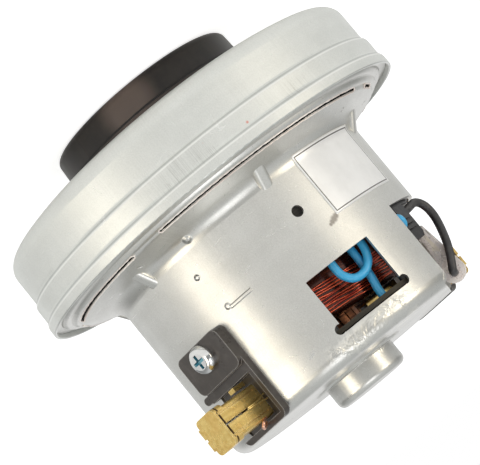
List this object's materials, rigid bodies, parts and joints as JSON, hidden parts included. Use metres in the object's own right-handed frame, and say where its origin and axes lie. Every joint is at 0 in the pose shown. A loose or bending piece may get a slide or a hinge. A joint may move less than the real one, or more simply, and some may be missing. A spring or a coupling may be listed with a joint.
{
  "type": "vacuum cleaner motor unit",
  "caption": "Universal vacuum motor with a drawn fan cover, inlet seal, drawn motor housing, opposed brush holders, visible field coils and a rear bearing boss.",
  "frame": {"origin": "centre of the inlet seal's front face, where the unit stands", "axes": "+Z along the shaft to the rear bearing boss, +X through brush holder A"},
  "size_m": [0.132, 0.132, 0.1138],
  "materials": {
    "rubber": "satin charcoal rubber",
    "cover_steel": "zinc-plated, fine drawing marks",
    "housing_steel": "zinc-plated, fine grain, light scuffs",
    "bracket_steel": "zinc-plated",
    "white_plastic": "moulded",
    "bearing_steel": "ground and polished",
    "core_steel": "laminated sheet",
    "insulator_plastic": "moulded dark brown",
    "enamelled_copper": "red-brown enamel",
    "commutator_copper": "turned copper",
    "brass": "folded brass strip",
    "spring_steel": "drawn wire",
    "holder_plastic": "moulded dark grey-brown",
    "screw_steel": "bright zinc",
    "ring_board": "olive insulating board",
    "clear_sleeve": "translucent",
    "black_insulation": "satin",
    "blue_insulation": "satin",
    "shaft_steel": "ground",
    "impeller_aluminium": "pressed sheet",
    "carbon": "pressed carbon"
  },
  "bodies": {
    "motor_frame": {"inlet_seal": "rubber", "fan_cover": "cover_steel", "motor_housing": "housing_steel", "front_bearing_bracket": "bracket_steel", "diffuser": "white_plastic", "front_bearing_outer_ring": "bearing_steel", "rear_bearing_outer_ring": "bearing_steel", "front_bearing_shields": "bearing_steel", "rear_bearing_shields": "bearing_steel", "bearing_spring_washer": "bearing_steel", "stator_core": "core_steel", "stator_front_insulator": "insulator_plastic", "stator_rear_insulator": "insulator_plastic", "field_coil_a": "enamelled_copper", "field_coil_b": "enamelled_copper", "field_coil_a_turns": "enamelled_copper", "field_coil_b_turns": "enamelled_copper", "brush_tube_a": "brass", "brush_tube_b": "brass", "brush_cap_a": "brass", "brush_cap_b": "brass", "brush_spring_a": "spring_steel", "brush_spring_b": "spring_steel", "brush_holder_a": "holder_plastic", "brush_holder_b": "holder_plastic", "brush_contact_a": "brass", "brush_contact_b": "brass", "brush_holder_screws": "screw_steel", "insulating_ring": "ring_board", "lead_block": "holder_plastic", "supply_terminal": "brass", "terminal_sleeve": "clear_sleeve", "supply_lead": "black_insulation", "blue_lead_a": "blue_insulation", "blue_lead_b": "blue_insulation"},
    "rotor": {"shaft": "shaft_steel", "armature_core": "core_steel", "armature_winding": "enamelled_copper", "commutator_hub": "insulator_plastic", "commutator_bars": "commutator_copper", "impeller_backplate": "impeller_aluminium", "impeller_blades": "impeller_aluminium", "impeller_shroud": "impeller_aluminium", "impeller_spacer": "shaft_steel", "impeller_washer": "shaft_steel", "impeller_nut": "shaft_steel", "front_bearing_inner_ring": "bearing_steel", "rear_bearing_inner_ring": "bearing_steel"},
    "front_ball_set": {"front_bearing_balls": "bearing_steel"},
    "rear_ball_set": {"rear_bearing_balls": "bearing_steel"},
    "brush_a": {"carbon_brush_a": "carbon"},
    "brush_b": {"carbon_brush_b": "carbon"}
  },
  "joints": [
    {"name": "rotor_spin", "type": "hinge", "parent": "motor_frame", "child": "rotor", "pos_m": [0, 0, 0.07], "axis": [0, 0, 1], "continuous": true},
    {"name": "front_balls_roll", "type": "hinge", "parent": "motor_frame", "child": "front_ball_set", "pos_m": [0, 0, 0.0344], "axis": [0, 0, 1], "continuous": true},
    {"name": "rear_balls_roll", "type": "hinge", "parent": "motor_frame", "child": "rear_ball_set", "pos_m": [0, 0, 0.1085], "axis": [0, 0, 1], "continuous": true},
    {"name": "brush_a_slide", "type": "slide", "parent": "motor_frame", "child": "brush_a", "axis": [1, 0, 0], "range_m": [0, 0.004], "stiffness_N_per_m": 250, "springref_m": -0.012, "deforming": ["brush_spring_a"]},
    {"name": "brush_b_slide", "type": "slide", "parent": "motor_frame", "child": "brush_b", "axis": [-1, 0, 0], "range_m": [0, 0.004], "stiffness_N_per_m": 250, "springref_m": -0.012, "deforming": ["brush_spring_b"]}
  ],
  "couplings": [
    {"joint": "front_balls_roll", "follows": "rotor_spin", "ratio": 0.3733},
    {"joint": "rear_balls_roll", "follows": "rotor_spin", "ratio": 0.3733}
  ]
}
